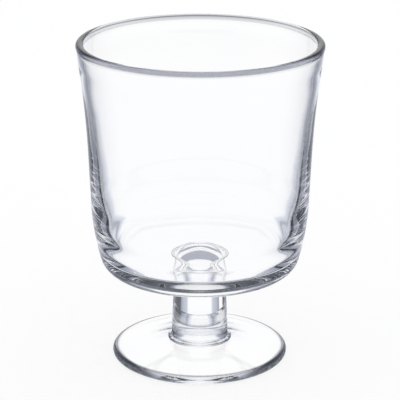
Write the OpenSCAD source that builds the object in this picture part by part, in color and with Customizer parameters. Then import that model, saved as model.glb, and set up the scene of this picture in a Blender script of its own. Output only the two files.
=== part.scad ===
// Low-stemmed pressed-glass goblet for parfaits and iced desserts.
// Four pieces of clear glass, fused hot face to face: foot, collar, stem and bowl.
// Millimetres, +Z up, origin at the centre of the ring that the foot stands on.

/* [Foot] */
// Diameter of the foot
foot_d = 64.2; // [56:0.2:76]
// Thickness of the foot's plate
foot_t = 3.1; // [2.4:0.1:4]
// How far the middle of the foot stands above its edge
foot_rise = 2.8; // [1.6:0.1:4]
// Width of the flat ring that the foot stands on
foot_land = 1.6; // [0.8:0.1:3]
// How far the rounding of the edge reaches inwards along the top
foot_top_round = 2.1; // [1:0.1:4]
// How far the rounding of the edge reaches inwards along the underside
foot_under_round = 1.7; // [0.8:0.1:3]

/* [Collar] */
// Diameter of the collar at its widest
collar_d = 23.3; // [22:0.1:27]
// Height of the collar
collar_h = 1.6; // [1.2:0.1:3]

/* [Stem] */
// Diameter of the stem where it stands on the collar
stem_base_d = 20.6; // [17:0.2:21]
// Diameter of the stem at its narrowest, under the bowl
stem_neck_d = 19.2; // [14:0.1:20.5]
// Diameter of the flare that carries the bowl
stem_head_d = 22.8; // [21:0.2:26]
// Height of that flare
stem_flare_h = 2; // [1:0.1:4]
// Height of the stem between the collar and the bowl
stem_h = 24.4; // [18:0.1:40]

/* [Bowl outside] */
// Height of the bowl from its underside to the lip
bowl_h = 86.1; // [75:0.1:110]
// Outside diameter of the bowl at its belly
belly_d = 78.9; // [75:0.1:84]
// Height of the belly above the bowl's underside
belly_h = 28.6; // [26:0.1:34]
// Lean of the outside wall at the belly, in degrees
belly_lean = 1.1; // [0.4:0.1:2]
// Radius of the slow curve below the belly
belly_round = 90; // [80:1:140]
// Radius of the outside corner between wall and underside
corner_round = 7.1; // [5:0.1:9]
// How far the underside rises from the stem to the corner
underside_rise = 1.3; // [0.6:0.1:2.5]
// Lean of the outside wall under the bead, in degrees
mouth_lean = 7.5; // [4:0.1:8.5]

/* [Bowl inside] */
// Thickness of the floor in the middle of the bowl
floor_t = 7.8; // [5:0.1:9]
// How far the inside wall draws in from the belly down to the floor's corner
floor_draw = 4.25; // [3:0.05:6]
// Radius of the inside corner between wall and floor
inside_round = 1.8; // [1:0.1:4]
// Lean of the inside wall just above that corner, in degrees
floor_lean = 19; // [12:0.5:24]
// Thickness of the wall at the belly
belly_wall_t = 3.5; // [2.8:0.1:4.2]
// Lean of the inside wall at the belly, in degrees
inside_lean = 5.8; // [4:0.1:8]

/* [Lip] */
// Outside diameter of the rim bead, the widest part of the glass
rim_d = 88; // [86:0.2:96]
// Height of the rim bead
bead_h = 2.3; // [2.1:0.1:3.2]
// How far the bead stands proud of the wall below it
bead_proud = 0.35; // [0.2:0.05:0.6]
// Thickness of the lip through the bead
lip_t = 2.9; // [2.4:0.1:3.4]
// How far the highest line of the lip lies inside the bead
lip_crown = 1.4; // [1:0.1:1.8]
// Depth of the lip's rounding towards the outside
lip_out_h = 1.2; // [0.8:0.1:1.4]
// Depth of the lip's rounding towards the inside
lip_in_h = 1.6; // [1:0.1:2.4]

/* [Hidden] */

// Heights where the pieces meet, each on top of the one below
collar_z = foot_t + foot_rise;
stem_z = collar_z + collar_h;
bowl_z = stem_z + stem_h;
lip_z = bowl_z + bowl_h;

// Steps along curves and round the axis
curve_steps = 10;
wall_steps = 16;
$fn = 128;

// How far a curve's handles reach, as shares of the curve's length: short, even and long
short_reach = 0.3;
reach = 0.4;
long_reach = 0.6;

glass_tint = [0.86, 0.89, 0.93, 0.45];

// Points on an ellipse or arc, from angle a to angle b
function oval(x, z, rx, rz, a, b, n = curve_steps) =
    [for (i = [0 : n]) let (t = a + (b - a) * i / n) [x + rx * cos(t), z + rz * sin(t)]];

// Points on a smooth curve from p to q that leaves and arrives along the given handles
function sweep_curve(p, p_handle, q, q_handle, n = wall_steps) =
    [for (i = [0 : n]) let (t = i / n, s = 1 - t)
        s * s * s * p + 3 * s * s * t * p_handle + 3 * s * t * t * q_handle + t * t * t * q];

// A list without its first point, for joining two curves end to end
function tail(points) = [for (i = [1 : len(points) - 1]) points[i]];

// Foot: a plate of even thickness, a shallow cone above and below, with a rounded edge
foot_r = foot_d / 2;
edge_z = foot_t / 2;
edge_in_r = foot_r - foot_top_round;
land_out_r = foot_r - foot_under_round;
land_in_r = land_out_r - foot_land;
land_blend = 1.5;
seat_round = 0.4;
seat_r = collar_d / 2 - seat_round;
foot_slope = foot_rise / (edge_in_r - seat_r);
// The hollow's cone ends here, where it rounds over to the flat crown in the middle
hollow_r = seat_r - seat_round;
hollow_z = foot_slope * (land_in_r - land_blend / 2 - hollow_r);
hollow_crown_z = hollow_z + foot_slope * hollow_r * short_reach;
hollow_reach = hollow_r * short_reach;
blend_reach = land_blend * short_reach;

module foot() {
    edge_turn = atan(edge_z / (foot_slope * foot_top_round));
    color(glass_tint)
        rotate_extrude()
            polygon(concat(
                sweep_curve(
                    [0, hollow_crown_z],
                    [hollow_r / 2, hollow_crown_z],
                    [hollow_r, hollow_z],
                    [hollow_r - hollow_reach, hollow_z + foot_slope * hollow_reach],
                    curve_steps),
                sweep_curve(
                    [land_in_r - land_blend, foot_slope * land_blend / 2],
                    [land_in_r - land_blend + blend_reach, foot_slope * (land_blend / 2 - blend_reach)],
                    [land_in_r, 0],
                    [land_in_r - blend_reach, 0],
                    curve_steps),
                oval(land_out_r, edge_z, foot_under_round, edge_z, -90, 0),
                tail(oval(edge_in_r, edge_z, foot_top_round, foot_t - edge_z, 0, edge_turn)),
                [[seat_r, collar_z], [0, collar_z]]));
}

// Collar: a thin ring of glass with a rounded edge that spreads the stem's load onto the foot
module collar() {
    ring_r = collar_d / 2;
    stem_r = stem_base_d / 2;
    shoulder = collar_h - seat_round;
    color(glass_tint)
        rotate_extrude()
            polygon(concat(
                [[0, collar_z]],
                oval(seat_r, collar_z + seat_round, seat_round, seat_round, -90, 0),
                tail(sweep_curve(
                    [ring_r, collar_z + seat_round],
                    [ring_r, collar_z + seat_round + shoulder * long_reach],
                    [stem_r, stem_z],
                    [stem_r, stem_z - shoulder * short_reach],
                    curve_steps)),
                [[0, stem_z]]));
}

// Stem: a solid column with a slight waist and a flare that carries the bowl
module stem() {
    base_r = stem_base_d / 2;
    neck_r = stem_neck_d / 2;
    flare_z = bowl_z - stem_flare_h;
    shaft_h = flare_z - stem_z;
    color(glass_tint)
        rotate_extrude()
            polygon(concat(
                [[0, stem_z]],
                sweep_curve(
                    [base_r, stem_z],
                    [base_r, stem_z + shaft_h * reach],
                    [neck_r, flare_z],
                    [neck_r, flare_z - shaft_h * reach]),
                tail(sweep_curve(
                    [neck_r, flare_z],
                    [neck_r, flare_z + stem_flare_h * long_reach],
                    [stem_head_d / 2, bowl_z],
                    [stem_head_d / 2 - stem_flare_h * long_reach, bowl_z],
                    curve_steps)),
                [[0, bowl_z]]));
}

// Bowl, outside: underside cone, tight corner, slow curve up to the belly, then the leaning wall
belly_r = belly_d / 2;
belly_z = bowl_z + belly_h;
rim_r = rim_d / 2;
bead_foot_z = lip_z - bead_h;
throat_r = rim_r - bead_proud;
underside_tilt = 4;

// Steepness where the slow curve hands over to the corner, so that both end on the underside
hand_over = asin((belly_h - underside_rise - corner_round * cos(underside_tilt)
    + belly_round * sin(belly_lean)) / (belly_round - corner_round));
hand_over_r = belly_r - belly_round * (cos(belly_lean) - cos(hand_over));
corner_x = hand_over_r - corner_round * cos(hand_over);
corner_z = bowl_z + underside_rise + corner_round * cos(underside_tilt);
belly_x = belly_r - belly_round * cos(belly_lean);
belly_arc_z = belly_z + belly_round * sin(belly_lean);

// Height of the handles that shape the wall between belly and bead
wall_handle = (bead_foot_z - belly_z) * reach;

function bowl_outside() = concat(
    [[stem_head_d / 2, bowl_z]],
    oval(corner_x, corner_z, corner_round, corner_round, underside_tilt - 90, -hand_over),
    tail(oval(belly_x, belly_arc_z, belly_round, belly_round, -hand_over, -belly_lean)),
    tail(sweep_curve(
        [belly_r, belly_z],
        [belly_r + wall_handle * tan(belly_lean), belly_z + wall_handle],
        [throat_r, bead_foot_z],
        [throat_r - wall_handle * tan(mouth_lean), bead_foot_z - wall_handle])));

// Bowl, lip: a low bead outside and a fire-polished crown that rounds over to the inside
crown_r = rim_r - lip_crown;
lip_in_r = rim_r - lip_t;

function bowl_lip() = concat(
    tail(oval(throat_r, bead_foot_z + bead_proud, bead_proud, bead_proud, -90, 0)),
    oval(crown_r, lip_z - lip_out_h, lip_crown, lip_out_h, 0, 90),
    tail(oval(crown_r, lip_z - lip_in_h, lip_t - lip_crown, lip_in_h, 90, 180)));

// Bowl, inside: down the leaning wall to the belly, on to the tight corner and across the floor
inside_belly_r = belly_r - belly_wall_t;
lip_in_z = lip_z - lip_in_h;
inside_handle = (lip_in_z - belly_z) * reach;
floor_z = bowl_z + floor_t;
floor_r = inside_belly_r - floor_draw;
inside_x = floor_r - inside_round * cos(floor_lean);
inside_z = floor_z + inside_round;
turn_z = inside_z - inside_round * sin(floor_lean);
turn_handle = (belly_z - turn_z) * short_reach;

function bowl_inside() = concat(
    tail(sweep_curve(
        [lip_in_r, lip_in_z],
        [lip_in_r - inside_handle * tan(inside_lean), lip_in_z - inside_handle],
        [inside_belly_r, belly_z],
        [inside_belly_r + inside_handle * tan(inside_lean), belly_z + inside_handle])),
    tail(sweep_curve(
        [inside_belly_r, belly_z],
        [inside_belly_r - turn_handle * tan(inside_lean), belly_z - turn_handle],
        [floor_r, turn_z],
        [floor_r + turn_handle * tan(floor_lean), turn_z + turn_handle])),
    tail(oval(inside_x, inside_z, inside_round, inside_round, -floor_lean, -90)),
    [[0, floor_z]]);

module bowl() {
    color(glass_tint)
        rotate_extrude()
            polygon(concat([[0, bowl_z]], bowl_outside(), bowl_lip(), bowl_inside()));
}

foot();
collar();
stem();
bowl();
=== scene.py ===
# %% [markdown]
# # A low goblet for parfaits, in clear pressed glass
# The real glass is made hot in four parts: a bowl, a short solid stem, a thin collar and a foot.
# They fuse where they touch, so light runs through the joints as if there were none.
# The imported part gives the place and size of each. Here each part gets the smooth surface and
# the finish of fire-polished glass, and the scene gets the bright sweep of a product photograph.

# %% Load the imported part
import math

import bpy
import numpy as np
from mathutils import Matrix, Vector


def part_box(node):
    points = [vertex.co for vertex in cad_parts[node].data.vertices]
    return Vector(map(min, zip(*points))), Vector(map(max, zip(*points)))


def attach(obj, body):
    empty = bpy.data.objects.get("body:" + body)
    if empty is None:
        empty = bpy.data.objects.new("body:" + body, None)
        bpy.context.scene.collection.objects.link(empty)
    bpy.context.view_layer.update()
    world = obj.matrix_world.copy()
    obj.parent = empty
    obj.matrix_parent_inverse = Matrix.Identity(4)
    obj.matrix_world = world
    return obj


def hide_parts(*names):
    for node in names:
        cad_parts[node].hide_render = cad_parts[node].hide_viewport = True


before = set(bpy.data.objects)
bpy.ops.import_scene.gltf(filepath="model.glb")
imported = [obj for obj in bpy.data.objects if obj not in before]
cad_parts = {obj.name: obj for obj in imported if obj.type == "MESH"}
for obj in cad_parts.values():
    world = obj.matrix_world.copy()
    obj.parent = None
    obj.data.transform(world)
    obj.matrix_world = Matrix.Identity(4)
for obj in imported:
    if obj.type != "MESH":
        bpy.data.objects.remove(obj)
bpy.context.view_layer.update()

MM = 0.001
print("parts:", sorted(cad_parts))

# %% [markdown]
# ## Curves for a turned section
# Each part is a body of revolution, so its whole shape is one line: the section from the axis,
# out along the underside, up the outside and back to the axis. Arcs and ellipses make the
# rounded edges, and a Bezier curve makes a blend between two directions. The tall walls follow
# a natural cubic spline, because clear glass shows every kink in the curvature as a bright or
# dark band, and this spline has none.

# %% Arcs and blends
def oval(centre, radii, start, end, steps=14):
    """Points on an ellipse from one angle to another, in degrees."""
    angles = [math.radians(start + (end - start) * i / steps) for i in range(steps + 1)]
    return [(centre[0] + radii[0] * math.cos(a), centre[1] + radii[1] * math.sin(a))
            for a in angles]


def blend(p, p_handle, q, q_handle, steps=12):
    """A Bezier curve from p to q, which leaves and arrives along the two handles."""
    ends = (p, p_handle, q_handle, q)
    points = []
    for i in range(steps + 1):
        t = i / steps
        weights = ((1 - t) ** 3, 3 * t * (1 - t) ** 2, 3 * t * t * (1 - t), t ** 3)
        points.append(tuple(sum(w * e[k] for w, e in zip(weights, ends)) for k in (0, 1)))
    return points


print("points on an arc and on a blend:", len(oval((0, 0), (1, 1), 0, 90)),
      len(blend((0, 0), (1, 0), (1, 1), (1, 0))))

# %% Smooth walls
def smooth_wall(knots, steps=90, least=4):
    """A natural cubic spline through the knots, with at least so many steps between two knots."""
    p = np.array(knots, float)
    gap = np.hypot(*(p[1:] - p[:-1]).T)
    count = len(p)
    matrix = np.eye(count)
    target = np.zeros((count, 2))
    for i in range(1, count - 1):
        matrix[i, i - 1:i + 2] = gap[i - 1], 2 * (gap[i - 1] + gap[i]), gap[i]
        target[i] = 6 * ((p[i + 1] - p[i]) / gap[i] - (p[i] - p[i - 1]) / gap[i - 1])
    bend = np.linalg.solve(matrix, target)
    each = max(least, steps // (count - 1))
    points = []
    for i in range(count - 1):
        for s in np.arange(each) / each * gap[i]:
            rest = gap[i] - s
            curve = (bend[i] * rest ** 3 + bend[i + 1] * s ** 3) / (6 * gap[i])
            line = (p[i] / gap[i] - bend[i] * gap[i] / 6) * rest
            line = line + (p[i + 1] / gap[i] - bend[i + 1] * gap[i] / 6) * s
            points.append(tuple(float(v) for v in curve + line))
    return points + [tuple(knots[-1])]


print("points on a wall through three knots:", len(smooth_wall([(0, 0), (1, 1), (1, 2)])))

# %% Keep a section
sections = {}


def keep_section(node, points, least=0.02):
    """Keeps a section, without points closer together than the least distance in millimetres."""
    kept = [points[0]]
    for point in points[1:-1]:
        if math.dist(point, kept[-1]) > least and math.dist(point, points[-1]) > least:
            kept.append(point)
    sections[node] = kept + [points[-1]]
    print(node, "section:", len(sections[node]), "points")


# %% [markdown]
# ## Heights where the parts meet
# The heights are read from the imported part, so the glass in the picture always sits where the
# solids do. Sizes across are in millimetres and are named where they are first used.

# %% Heights
def height(node, end):
    """The lowest (end 0) or highest (end 1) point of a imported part, in millimetres."""
    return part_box(node)[end][2] / MM


collar_z = height("collar", 0)
stem_z = height("collar", 1)
bowl_z = height("stem", 1)
lip_z = height("bowl", 1)
print("collar, stem, bowl and lip at", [round(z, 2) for z in (collar_z, stem_z, bowl_z, lip_z)])

# %% [markdown]
# ## Foot
# The foot is a plate of even thickness, pressed as a shallow cone, so the glass stands on a
# narrow ring and the middle of its underside is hollow. Because both faces slope alike, the
# eye looks straight through it, and only the rounded edge bends light enough to look dark.

# %% The foot's section
foot_r = 32.1
foot_t = 3.1
foot_edge_z = foot_t / 2
top_reach = 2.1
under_reach = 1.7
seat_r = 11.3
foot_slope = (collar_z - foot_t) / (foot_r - top_reach - seat_r)
land_in_r = 28.9
land_blend = 1.3
cone_handle = 0.4
land_handle = 0.5
hollow_r = 7.5
hollow_handle = hollow_r * 0.3
crown_handle = hollow_r * 0.5
crown_share = 0.45


def foot_section():
    """From the crown of the hollow over the standing ring and the edge to the collar's seat."""
    cone_end = (land_in_r - land_blend, foot_slope * land_blend / 2)
    hollow = (hollow_r, cone_end[1] + foot_slope * (cone_end[0] - hollow_r))
    crown_z = hollow[1] + foot_slope * hollow_r * crown_share
    points = blend((0, crown_z), (crown_handle, crown_z), hollow,
                   (hollow_r - hollow_handle, hollow[1] + foot_slope * hollow_handle),
                   steps=16)
    points += blend(cone_end, (cone_end[0] + cone_handle, cone_end[1] - foot_slope * cone_handle),
                    (land_in_r, 0), (land_in_r - land_handle, 0))
    points += oval((foot_r - under_reach, foot_edge_z), (under_reach, foot_edge_z), -90, 0)
    edge_turn = math.degrees(math.atan(foot_edge_z / (foot_slope * top_reach)))
    points += oval((foot_r - top_reach, foot_edge_z), (top_reach, foot_edge_z), 0, edge_turn)[1:]
    return points + [(seat_r, collar_z), (0, collar_z)]


keep_section("foot", foot_section())

# %% [markdown]
# ## Collar and stem
# The collar is a thin ring of glass, where the hot stem was pressed onto the foot. The stem is
# a solid column with a slight waist and a small flare under the bowl. Shares say how far the
# handles of a blend reach along its height.

# %% The collar's section
collar_r = 11.65
collar_wide_z = 6.3
collar_handle = 0.25
stem_base_r = 10.3
shoulder_share = 0.6
root_share = 0.35
root_spread = 0.1


def collar_section():
    """From the foot round the collar's widest line and in to the stem."""
    rise = stem_z - collar_wide_z
    points = [(0, collar_z)]
    points += blend((seat_r, collar_z), (seat_r + collar_handle, collar_z),
                    (collar_r, collar_wide_z), (collar_r, collar_wide_z - collar_handle))
    points += blend((collar_r, collar_wide_z), (collar_r, collar_wide_z + rise * shoulder_share),
                    (stem_base_r, stem_z),
                    (stem_base_r + root_spread, stem_z - rise * root_share))[1:]
    return points + [(0, stem_z)]


keep_section("collar", collar_section())

# %% The stem's section
stem_neck_r = 9.6
stem_head_r = 11.4
flare_h = 2.0
base_share = 0.35
base_draw = 0.05
neck_share = 0.4
flare_share = 0.6
head_reach = flare_h * 0.2
head_drop = flare_h * 0.1


def stem_section():
    """From the collar up the waisted column and out to the bowl."""
    flare_z = bowl_z - flare_h
    shaft = flare_z - stem_z
    points = [(0, stem_z)]
    points += blend((stem_base_r, stem_z), (stem_base_r - base_draw, stem_z + shaft * base_share),
                    (stem_neck_r, flare_z), (stem_neck_r, flare_z - shaft * neck_share),
                    steps=24)
    points += blend((stem_neck_r, flare_z), (stem_neck_r, flare_z + flare_h * flare_share),
                    (stem_head_r, bowl_z), (stem_neck_r + head_reach, bowl_z - head_drop))[1:]
    return points + [(0, bowl_z)]


keep_section("stem", stem_section())

# %% [markdown]
# ## Bowl
# Outside, the bowl has a nearly flat underside, a tight corner, a slow curve up to the belly
# and a wall that leans out to a low bead. Inside, the wall runs almost parallel to the outside
# as far as the belly. Then it turns in a tight corner onto a flat floor, which leaves the thick
# block of glass that gathers light at the bottom. Each knot is a radius and a height.

# %% The bowl's sizes
belly_r = 39.45
belly_z = bowl_z + 28.6
belly_lean = 1.1
belly_round = 90.0
corner_round = 7.1
underside_rise = 1.3
underside_tilt = 4.0
wall_knots = [(40.02, 74), (40.5, 84), (41.3, 94.5), (42.3, 104), (43.2, 110.5)]
bead_knots = [(43.6, 114), (43.68, 115.2), (43.8, 115.8), (44.0, 116.4)]
lip_knots = [(44, 116.9), (43.85, 117.4), (43.4, 117.85), (42.7, 118.0), (42.0, 117.9),
             (41.4, 117.5), (41.1, 116.9), (41.3, 115.9)]
inside_knots = [(41.3, 113.5), (40.6, 108), (39.5, 99), (38.5, 90), (37.55, 80), (36.7, 70),
                (35.9, 61.5), (35.05, 55.5), (34.1, 50.5), (32.9, 45.5)]
floor_z = 39.7
floor_r = 31.7
floor_lean = 19.0
floor_round = 1.8
floor_run_up = 3
print("the bowl is", 2 * bead_knots[-1][0], "mm across, its floor", round(floor_z - bowl_z, 2),
      "mm thick")

# %% The bowl's section
def bowl_outside():
    """The underside, its corner, the slow curve to the belly and the wall up to the bead."""
    lean = math.radians(belly_lean)
    tilt = math.radians(underside_tilt)
    reach = belly_z - bowl_z - underside_rise - corner_round * math.cos(tilt)
    hand_over = math.asin((reach + belly_round * math.sin(lean)) / (belly_round - corner_round))
    hand_over_r = belly_r - belly_round * (math.cos(lean) - math.cos(hand_over))
    corner = (hand_over_r - corner_round * math.cos(hand_over),
              bowl_z + underside_rise + corner_round * math.cos(tilt))
    belly = (belly_r - belly_round * math.cos(lean), belly_z + belly_round * math.sin(lean))
    steepness = -math.degrees(hand_over)
    points = [(0, bowl_z), (stem_head_r, bowl_z)]
    points += oval(corner, (corner_round, corner_round), underside_tilt - 90, steepness,
                   steps=24)
    points += oval(belly, (belly_round, belly_round), steepness, -belly_lean, steps=20)[1:]
    return points + smooth_wall([points[-1]] + wall_knots + bead_knots)[1:]


def bowl_inside():
    """From the lip's inner edge down the wall, round the tight corner and across the floor."""
    slope = math.radians(floor_lean)
    centre = (floor_r - floor_round * math.cos(slope), floor_z + floor_round)
    corner = oval(centre, (floor_round, floor_round), -floor_lean, -90)
    above = (corner[0][0] + floor_run_up * math.tan(slope), corner[0][1] + floor_run_up)
    points = smooth_wall([lip_knots[-1]] + inside_knots + [above, corner[0]])[1:]
    return points + corner[1:] + [(0, floor_z)]


lip = smooth_wall([bead_knots[-1]] + lip_knots, steps=40)[1:]
keep_section("bowl", bowl_outside() + lip + bowl_inside())

# %% [markdown]
# ## Nodes from Python
# A node tree is easier to read as an expression than as a list of links. This small class wraps
# one output of a node. Arithmetic and comparisons on it add Math nodes, also with a plain number
# on either side. `add` makes any other node, and it serves geometry, materials and the world
# alike. `maths` is for the operations that have no sign of their own.

# %% A wrapper for node sockets
class Wire:
    """One output of a node, for use in expressions."""

    def __init__(self, socket):
        self.socket = socket
        self.tree = socket.id_data

    def __add__(self, other):
        return maths("ADD", self, other)

    def __radd__(self, other):
        return maths("ADD", other, self)

    def __sub__(self, other):
        return maths("SUBTRACT", self, other)

    def __rsub__(self, other):
        return maths("SUBTRACT", other, self)

    def __mul__(self, other):
        return maths("MULTIPLY", self, other)

    def __rmul__(self, other):
        return maths("MULTIPLY", other, self)

    def __truediv__(self, other):
        return maths("DIVIDE", self, other)

    def __rtruediv__(self, other):
        return maths("DIVIDE", other, self)

    def __gt__(self, other):
        return maths("GREATER_THAN", self, other)

    def __lt__(self, other):
        return maths("LESS_THAN", self, other)

    def __abs__(self):
        return maths("ABSOLUTE", self)


# %% Functions that add nodes
def add(tree, kind, settings=None, values=None, output=0):
    """Adds one node: its settings first, then the values or links of its sockets."""
    node = tree.nodes.new(kind)
    for name, value in (settings or {}).items():
        if name == "stops":
            elements = node.color_ramp.elements
            while len(elements) < len(value):
                elements.new(0.5)
            for element, (place, colour) in zip(elements, value):
                element.position = place
                element.color = (*colour, 1)
        else:
            setattr(node, name, value)
    for name, value in (values or {}).items():
        if isinstance(value, Wire):
            tree.links.new(value.socket, node.inputs[name])
        else:
            node.inputs[name].default_value = value
    return Wire(node.outputs[output]) if len(node.outputs) else node


def maths(operation, *values):
    """Adds a Math node. At least one of the values is a wire, and its tree gets the node."""
    tree = next(value.tree for value in values if isinstance(value, Wire))
    return add(tree, "ShaderNodeMath", {"operation": operation}, dict(enumerate(values)))


def split(vector):
    """The X, Y and Z of a vector, as three wires."""
    return [add(vector.tree, "ShaderNodeSeparateXYZ", None, {0: vector}, axis) for axis in "XYZ"]


# %% [markdown]
# ## A lathe in Geometry Nodes
# All four parts follow one rule: turn the section round the axis. One tree does this for each
# of them. A grid has a column for each step of the turn and a row for each point of the
# section. Every grid point then looks up its section point and moves to its place. The first
# and last columns, and the points on the axis, are welded, so the part is closed. Faces that
# lie at a joint get their own see-through finish, because fused glass has no surface there.
# What lies within a thousandth of a millimetre touches.

# %% The lathe's inputs
steps_round = 256
crease_angle = math.radians(25)
touch = 1e-6

lathe = bpy.data.node_groups.new("lathe", "GeometryNodeTree")
lathe.interface.new_socket("Section", in_out="INPUT", socket_type="NodeSocketGeometry")
for name, kind, value in (("Steps Round", "NodeSocketInt", steps_round),
                          ("Crease Angle", "NodeSocketFloat", crease_angle),
                          ("Lower Joint", "NodeSocketFloat", 0.0),
                          ("Upper Joint", "NodeSocketFloat", 0.0)):
    lathe.interface.new_socket(name, in_out="INPUT", socket_type=kind).default_value = value
lathe.interface.new_socket("Glass", in_out="INPUT", socket_type="NodeSocketMaterial")
lathe.interface.new_socket("Joint Finish", in_out="INPUT", socket_type="NodeSocketMaterial")
lathe.interface.new_socket("Part", in_out="OUTPUT", socket_type="NodeSocketGeometry")
source = lathe.nodes.new("NodeGroupInput")
given = {socket.name: Wire(socket) for socket in source.outputs if socket.name}
print("the lathe is given:", list(given))

# %% Turn the section round the axis
rows = add(lathe, "GeometryNodeAttributeDomainSize", {"component": "MESH"},
           {"Geometry": given["Section"]}, "Point Count")
grid = add(lathe, "GeometryNodeMeshGrid", None,
           {"Size X": 1.0, "Size Y": 1.0, "Vertices X": given["Steps Round"] + 1,
            "Vertices Y": rows}, "Mesh")
place = add(lathe, "GeometryNodeInputPosition")
place_x, place_y, place_z = split(place)
row = maths("ROUND", (place_y + 0.5) * (rows - 1))
point = add(lathe, "GeometryNodeSampleIndex", {"data_type": "FLOAT_VECTOR", "domain": "POINT"},
            {"Geometry": given["Section"], "Value": place, "Index": row}, "Value")
point_r, _, point_z = split(point)
round_axis = (place_x + 0.5) * (2 * math.pi)
turned = add(lathe, "ShaderNodeCombineXYZ", None,
             {"X": point_r * maths("COSINE", round_axis), "Y": point_r * maths("SINE", round_axis),
              "Z": point_z})
shell = add(lathe, "GeometryNodeSetPosition", None, {"Geometry": grid, "Position": turned})
shell = add(lathe, "GeometryNodeMergeByDistance", None, {"Geometry": shell, "Distance": touch})
print("lathe nodes so far:", len(lathe.nodes))

# %% Finish the lathe: creases and materials
fold = add(lathe, "GeometryNodeInputMeshEdgeAngle", None, None, "Unsigned Angle")
shell = add(lathe, "GeometryNodeSetShadeSmooth", {"domain": "FACE"},
            {"Geometry": shell, "Shade Smooth": True})
shell = add(lathe, "GeometryNodeSetShadeSmooth", {"domain": "EDGE"},
            {"Geometry": shell, "Selection": fold > given["Crease Angle"], "Shade Smooth": False})
shell = add(lathe, "GeometryNodeRealizeInstances", None, {"Geometry": shell})
shell = add(lathe, "GeometryNodeSetMaterial", None, {"Geometry": shell, "Material": given["Glass"]})
for end in ("Lower Joint", "Upper Joint"):
    at_joint = abs(place_z - given[end]) < touch
    shell = add(lathe, "GeometryNodeSetMaterial", None,
                {"Geometry": shell, "Selection": at_joint, "Material": given["Joint Finish"]})
add(lathe, "NodeGroupOutput", None, {"Part": shell})
print("lathe nodes in all:", len(lathe.nodes))

# %% [markdown]
# ## Finishes
# Clear glass has no colour of its own in so thin a wall, only the faintest cool cast. What
# makes it look pressed and not machined is its surface: slow ripples where the glass flowed in
# the mould. Two places look darker from every side, because light leaves them sideways: the
# outer flank of the lip, and a fine line where the lip and the foot's edge turn over. No card
# in the studio draws them finely enough, so both are painted shade: a grey painted into the
# glass's colour, placed by the distance from the axis and by the height.

# %% Helpers for finishes
def blank_finish(name):
    """A new material with an empty tree."""
    finish = bpy.data.materials.new(name)
    finish.use_nodes = True
    finish.node_tree.nodes.clear()
    return finish


def mixed(share, first, second):
    """Two colours mixed, all of the first where the share is 0 and all of the second where 1."""
    return add(share.tree, "ShaderNodeMix", {"data_type": "RGBA"},
               {"Factor": share, "A": first, "B": second}, "Result")


# %% Where the glass turns over
# Painted shade: a grey in the glass's colour on the lip's outer flank, where light leaves sideways.
flank_r = 42.7 * MM
flank_z = 116.1 * MM
flank_fade = 0.4 * MM
flank_softness = 0.1
flank_painted_shade = (0.24, 0.25, 0.31, 1)
# Painted shade: fine dark lines in the glass's colour where the lip and the foot's edge turn over.
lip_shade_line = {"radius": 41.5 * MM, "half": 0.5 * MM, "bottom": 116.2 * MM, "top": 120 * MM}
foot_shade_line = {"radius": 30.6 * MM, "half": 0.9 * MM, "bottom": 1.2 * MM, "top": 4.8 * MM}
line_painted_shade = (0.05, 0.055, 0.08, 1)


def soft_step(value, start):
    """Rises from 0 at the start to 1 at the end of the fade, and levels off softly."""
    climb = maths("SMOOTH_MIN", (value - start) / flank_fade, 1.0, flank_softness)
    return maths("MAXIMUM", climb, 0.0)


def painted_shade_line(radius, z, line):
    """A line of painted shade round the axis, full at its radius and gone at half its width to
    either side.
    """
    near = maths("MAXIMUM", (line["half"] - abs(radius - line["radius"])) / line["half"], 0.0)
    return near * ((z > line["bottom"]) * (z < line["top"]))


print("dark lines at radius", lip_shade_line["radius"] / MM, "and", foot_shade_line["radius"] / MM, "mm")

# %% Clear glass
ripple_scale = 55.0
cast_scale = 30.0
faint_cast = ((0.3, (0.985, 0.99, 1.0)), (0.7, (1.0, 1.0, 1.0)))


def clear_glass():
    """Pressed glass: faint ripples, a faint cast, and painted shade on the lip's flank and in fine
    lines.
    """
    finish = blank_finish("pressed_glass")
    tree = finish.node_tree
    where = add(tree, "ShaderNodeTexCoord", None, None, "Object")
    x, y, z = split(where)
    radius = maths("SQRT", x * x + y * y)
    cast = add(tree, "ShaderNodeTexNoise", None,
               {"Vector": where, "Scale": cast_scale, "Detail": 1.0})
    colour = add(tree, "ShaderNodeValToRGB", {"stops": faint_cast}, {"Fac": cast})
    # Painted shade on the lip's outer flank.
    colour = mixed(soft_step(z, flank_z) * soft_step(radius, flank_r), colour, flank_painted_shade)
    # Painted shade in fine lines where the lip and the foot's edge turn over.
    lines = maths("MAXIMUM", painted_shade_line(radius, z, lip_shade_line), painted_shade_line(radius, z, foot_shade_line))
    colour = mixed(lines, colour, line_painted_shade)
    ripple = add(tree, "ShaderNodeTexNoise", None,
                 {"Vector": where, "Scale": ripple_scale, "Detail": 2.0, "Roughness": 0.4})
    bump = add(tree, "ShaderNodeBump", None,
               {"Strength": 0.02, "Distance": 0.001, "Height": ripple})
    shader = add(tree, "ShaderNodeBsdfPrincipled", None,
                 {"Base Color": colour, "Roughness": 0.0, "IOR": 1.5, "Transmission Weight": 1.0,
                  "Normal": bump})
    add(tree, "ShaderNodeOutputMaterial", None, {"Surface": shader})
    return finish


glass = clear_glass()
print(glass.name, "has", len(glass.node_tree.nodes), "nodes")

# %% A joint that light does not notice
def fused_joint():
    """The finish of a face where two parts are fused."""
    finish = blank_finish("fused_joint")
    clear = add(finish.node_tree, "ShaderNodeBsdfTransparent")
    add(finish.node_tree, "ShaderNodeOutputMaterial", None, {"Surface": clear})
    return finish


joint = fused_joint()
print(joint.name, "has", len(joint.node_tree.nodes), "nodes")

# %% [markdown]
# ## Turn the four parts
# Each section becomes a line of points in the XZ plane. The lathe turns it, and the result is
# kept as a plain mesh. The printed volume is positive when the faces point outwards.

# %% Turn a part
socket_of = {item.name: item.identifier for item in lathe.interface.items_tree
             if item.item_type == "SOCKET" and item.in_out == "INPUT"}


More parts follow.
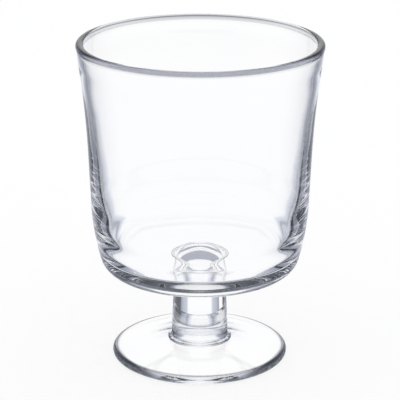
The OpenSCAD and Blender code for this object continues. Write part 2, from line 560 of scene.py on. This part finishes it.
def turn_part(node, lower, upper):
    """Turns a section on the lathe. Lower and upper are the heights of the joints."""
    points = sections[node]
    line = bpy.data.meshes.new(node + "_section")
    line.from_pydata([(r * MM, 0, z * MM) for r, z in points],
                     [(i, i + 1) for i in range(len(points) - 1)], [])
    carrier = bpy.data.objects.new(node + "_turning", line)
    bpy.context.scene.collection.objects.link(carrier)
    turning = carrier.modifiers.new("lathe", "NODES")
    turning.node_group = lathe
    for name, value in (("Steps Round", steps_round), ("Lower Joint", lower * MM),
                        ("Upper Joint", upper * MM), ("Glass", glass), ("Joint Finish", joint)):
        turning[socket_of[name]] = value
    shown = carrier.evaluated_get(bpy.context.evaluated_depsgraph_get())
    mesh = bpy.data.meshes.new_from_object(shown)
    bpy.data.objects.remove(carrier)
    # A grid starts with an empty slot for a finish, and no face uses it any more.
    if mesh.materials[0] is None:
        mesh.materials.pop(index=0)
    piece = bpy.data.objects.new(node + "_glass", mesh)
    bpy.context.scene.collection.objects.link(piece)
    return piece


# %% Measure a part
ML_IN_CUBIC_METRE = 1e6


def volume_ml(mesh):
    """The volume inside a closed mesh, as a sum of tetrahedra to the origin."""
    mesh.calc_loop_triangles()
    places = np.array([v.co for v in mesh.vertices])
    corners = np.array([t.vertices for t in mesh.loop_triangles])
    a, b, c = (places[corners[:, k]] for k in (0, 1, 2))
    return float(np.einsum("ij,ij->i", a, np.cross(b, c)).sum() / 6 * ML_IN_CUBIC_METRE)


# %% Make the pieces and hand them to the frame
joints = {"foot": (collar_z, collar_z), "collar": (collar_z, stem_z), "stem": (stem_z, bowl_z),
          "bowl": (bowl_z, bowl_z)}
for node, (lower, upper) in joints.items():
    piece = turn_part(node, lower, upper)
    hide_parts(node)
    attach(piece, "root")
    print(node, "faces", len(piece.data.polygons), "volume", round(volume_ml(piece.data), 2), "ml",
          "finishes", [finish.name for finish in piece.data.materials])

# %% [markdown]
# ## Floor
# The glass stands on a plain white floor. The floor glows a little, so it stays white as in the
# photograph and keeps only a faint shadow. Light that has gone through the glass doesn't see
# it, because the surroundings below already hold what such light would find there.

# %% The floor
floor_half = 3.0
glow_share = 0.8
white = (1.0, 1.0, 1.0, 1)


def floor_finish():
    """White paint that glows a little."""
    finish = blank_finish("studio_floor")
    tree = finish.node_tree
    paint = add(tree, "ShaderNodeBsdfDiffuse", None, {"Color": white})
    glow = add(tree, "ShaderNodeEmission", None, {"Color": white, "Strength": 1.0})
    both = add(tree, "ShaderNodeMixShader", None, {0: glow_share, 1: paint, 2: glow})
    add(tree, "ShaderNodeOutputMaterial", None, {"Surface": both})
    return finish


sheet = bpy.data.meshes.new("studio_floor")
sheet.from_pydata([(-floor_half, -floor_half, 0), (floor_half, -floor_half, 0),
                   (floor_half, floor_half, 0), (-floor_half, floor_half, 0)], [], [(0, 1, 2, 3)])
sheet.materials.append(floor_finish())
floor = bpy.data.objects.new("studio_floor", sheet)
bpy.context.scene.collection.objects.link(floor)
floor.visible_transmission = False
floor.visible_glossy = False
print("floor", 2 * floor_half, "m wide")

# %% [markdown]
# ## Light
# Glass shows nothing but its surroundings, and the world holds them as bands round the glass.
# A photographer sets them so that each part of the glass finds its own: the clear front shows
# a white sweep, the wall's edge a grey card with a narrow black strip, and the skin of the
# glass a dark card at its sides. A band is a list of angles in degrees, each with how bright
# the surroundings are there. Round the glass, 0 lies behind it, as the camera sees it, and 180
# behind the camera. The clear front has one short band, which is folded over and over, so that
# the glass is as clear from the other sides.

# %% Bands for the skin, the edges and the clear front
skin_band = [(0, 1), (9, 1), (13, 0.7), (30, 0.5), (38, 0.25), (58, 0.25), (72, 0.55), (90, 0.85),
             (180, 0.9)]
edge_band = [(0, 1), (19, 1), (21.5, 0.55), (27, 0.38), (33, 0.36), (36, 0.25), (38, 0.01),
             (43, 0.01), (45, 0.36), (58, 0.45), (70, 0.66), (85, 0.9), (180, 0.9)]
high_band = [(0, 1), (15, 0.95), (19, 0.4), (30, 0.2), (46, 0.03), (70, 0.05), (100, 0.35),
             (180, 0.45)]
front_band = [(0, 1), (12.6, 1), (15.4, 0.72), (18, 0.62), (20, 0.34), (22.5, 0.22)]
fold_width = 22.5
print("the band of the clear front repeats every", 2 * fold_width, "degrees")

# %% [markdown]
# The stem is a lens that swaps left and right, so its left side finds what stands at its right.
# Its band is the only one that is not the same on both sides. It has a white gap round -45
# degrees, which is the background for a camera that stands 45 degrees further round the glass.
# Light that is thrown to and fro in thick glass finds the deep bands, which are almost black at
# the sides.

# %% Bands for the stem and for trapped light
gap_start = -51
gap_end = -39
stem_band = [(-180, 0.95), (-82, 0.95), (-75, 0.6), (-60, 0.05), (-53, 0.05), (gap_start, 1),
             (gap_end, 1), (-37, 0.25), (-32, 0.45), (-21.5, 0.6), (-19, 1), (19, 1), (21.5, 0.6),
             (32, 0.45), (36, 0.25), (38, 0.05), (60, 0.05), (75, 0.6), (90, 0.95), (180, 0.95)]
deep_low = [(0, 0.95), (4, 0.9), (12, 0.35), (22, 0.04), (110, 0.04), (140, 0.6), (180, 0.9)]
deep_high = [(0, 0.95), (4, 0.9), (12, 0.35), (22, 0.04), (152, 0.04), (160, 0.7), (172, 0.95),
             (180, 0.95)]
overhead_level = 0.1
print("white gap for the stem from", gap_start, "to", gap_end, "degrees")

# %% [markdown]
# A window is a band that says where something holds: 1 where it is open and 0 where it is shut.
# The stem's window goes round the glass like the bands. The others, and the band for echoes, go
# by height: 0 is straight down, 90 level with the glass and 180 straight up.

# %% Windows, and the band for echoes
upper_half = [(82, 0), (92, 1)]
stem_sides = [(22, 0), (24, 1), (64, 1), (67, 0)]
steep_rise = [(54, 1), (56, 0), (72, 0), (74, 1)]
overhead = [(149, 0), (154, 1)]
lift = [(17, 1), (24, 0), (115, 0), (125, 1)]
echo_band = [(0, 0.32), (56, 0.34), (59, 1), (90, 1)]
print("clear glass finds white below", lift[0][0], "and above", lift[-1][0], "degrees of height")

# %% From a band to a colour ramp
blue_cast = 0.27
red_cast = 0.09


def shade(level):
    """A grey with the faint blue of a studio photograph, strongest between black and white."""
    cast = level * (1 - level) * (1 + 2 * level ** 3)
    return (max(level - red_cast * cast, 0), level, level + blue_cast * cast)


def ramp(stops, along, first, last):
    """A colour ramp, where along runs from 0 at the first angle to 1 at the last."""
    placed = [((angle - first) / (last - first), colour) for angle, colour in stops]
    return add(along.tree, "ShaderNodeValToRGB", {"stops": placed}, {"Fac": along})


def tinted(band, along, first=0, last=180):
    """The colours of a band of cards."""
    return ramp([(angle, shade(level)) for angle, level in band], along, first, last)


def window(band, along):
    """How far a window is open, from 0 to 1."""
    return ramp([(angle, (level, level, level)) for angle, level in band], along, 0, 180)


print("a card of level 0.5 has the colour", [round(v, 3) for v in shade(0.5)])

# %% [markdown]
# ## The studio round the glass
# The world's shader runs once for every ray that leaves the glass. The ray's direction picks the
# place in the bands. Light Path says what the ray has met before: how many surfaces it has
# crossed, and how often it was thrown back. That picks the band. Both are whole numbers, so each
# threshold lies halfway between two of them.

# %% Which way the light looks, and what it has met
world = bpy.data.worlds.new("studio")
bpy.context.scene.world = world
world.use_nodes = True
studio = world.node_tree
studio.nodes.clear()
ray_x, ray_y, ray_z = split(add(studio, "ShaderNodeTexCoord", None, None, "Generated"))
aim = maths("ARCTAN2", ray_x, ray_y) / math.pi
side = abs(aim)
whole_turn = aim / 2 + 0.5
folded_side = maths("PINGPONG", side, fold_width / 180)
rise = maths("ARCSINE", ray_z) / math.pi + 0.5
upward = window(upper_half, rise)
crossed = add(studio, "ShaderNodeLightPath", None, None, "Transmission Depth")
thrown = add(studio, "ShaderNodeLightPath", None, None, "Glossy Depth")
print("studio nodes for the ray:", len(studio.nodes))

# %% [markdown]
# Light that has crossed no surface was thrown off the skin. Light that has crossed two has gone
# through the stem or, if it was also thrown back inside, through the edge of the wall.

# %% What the skin, the stem and the edges find
inside = crossed > 0.5
echoed = thrown > 0.5
stem = tinted(stem_band, whole_turn, first=-180)
edge = mixed(upward, tinted(edge_band, side), tinted(high_band, side))
found = mixed(inside, tinted(skin_band, side), mixed(echoed, stem, edge))
print("studio nodes with skin, stem and edges:", len(studio.nodes))

# %% [markdown]
# Light that has crossed four surfaces or more has come through the clear front. It finds the
# sweep, unless it leaves the way light leaves the stem's sides, and then it finds the stem's
# band. Light that was thrown back on its way is an echo, and echoes find a grey card below.
# High up and far down, all light that was never thrown back finds white.

# %% What the clear front finds
through_front = crossed > 2.5
only_four = crossed < 4.5
steep_or_right = maths("MAXIMUM", aim > 0.0, window(steep_rise, rise))
like_stem = steep_or_right * window(stem_sides, side) * only_four
front = mixed(like_stem, tinted(front_band, folded_side), stem)
front = mixed(echoed, front, tinted(echo_band, rise * 2, last=90))
found = mixed(through_front, found, front)
found = mixed(window(lift, rise) * (thrown < 0.5), found, white)
print("studio nodes with the clear front:", len(studio.nodes))

# %% [markdown]
# Light that was thrown back four times in an edge, or eight times behind the clear front, is
# trapped light. It makes the dark lines in the thick glass at the foot of the wall.

# %% What trapped light finds
trapped_in_edge = 4
trapped_in_front = 8
most_throws = through_front * (trapped_in_front - trapped_in_edge) + (trapped_in_edge - 0.5)
deep = mixed(upward, tinted(deep_low, side), tinted(deep_high, side))
deep = mixed(window(overhead, rise), deep, (*shade(overhead_level), 1))
found = mixed(thrown > most_throws, found, deep)
print("studio nodes with trapped light:", len(studio.nodes))

# %% [markdown]
# The camera itself and the floor's paint find plain white, so the background is white and the
# floor is lit evenly from all sides.

# %% The world's light
camera_ray = add(studio, "ShaderNodeLightPath", None, None, "Is Camera Ray")
diffuse_ray = add(studio, "ShaderNodeLightPath", None, None, "Is Diffuse Ray")
light = mixed(maths("MAXIMUM", camera_ray, diffuse_ray), found, white)
glow = add(studio, "ShaderNodeBackground", None, {"Color": light, "Strength": 1.0})
add(studio, "ShaderNodeOutputWorld", None, {"Surface": glow})
bpy.context.scene.view_settings.view_transform = "Standard"
print("studio nodes in all:", len(studio.nodes))

# %% [markdown]
# ## Long light paths
# Light that enters the thick foot of the wall is thrown to and fro inside it many times before
# it leaves. If the count of bounces ends before that, the glass turns black there.

# %% Bounces
longest_path = 32
most_reflections = 24

paths = bpy.context.scene.cycles
paths.max_bounces = longest_path
paths.transmission_bounces = longest_path
paths.glossy_bounces = most_reflections
print("longest path:", paths.max_bounces, "bounces")

# %% [markdown]
# ## Camera
# A long lens looks down at the glass from about 19 degrees, as in the photograph.

# %% The camera
camera_place = (0, -0.640, 0.2746)
look_down = 18.62
roll = 0.15

camera_data = bpy.data.cameras.new("camera")
camera_data.sensor_width = 36
camera_data.lens = 167.94
camera = bpy.data.objects.new("camera", camera_data)
bpy.context.scene.collection.objects.link(camera)
camera.matrix_world = (Matrix.Translation(camera_place)
                       @ Matrix.Rotation(math.radians(90 - look_down), 4, "X")
                       @ Matrix.Rotation(math.radians(roll), 4, "Z"))
bpy.context.scene.camera = camera
print("camera", round(math.dist(camera_place, (0, 0, lip_z * MM / 2)), 3), "m from the glass")
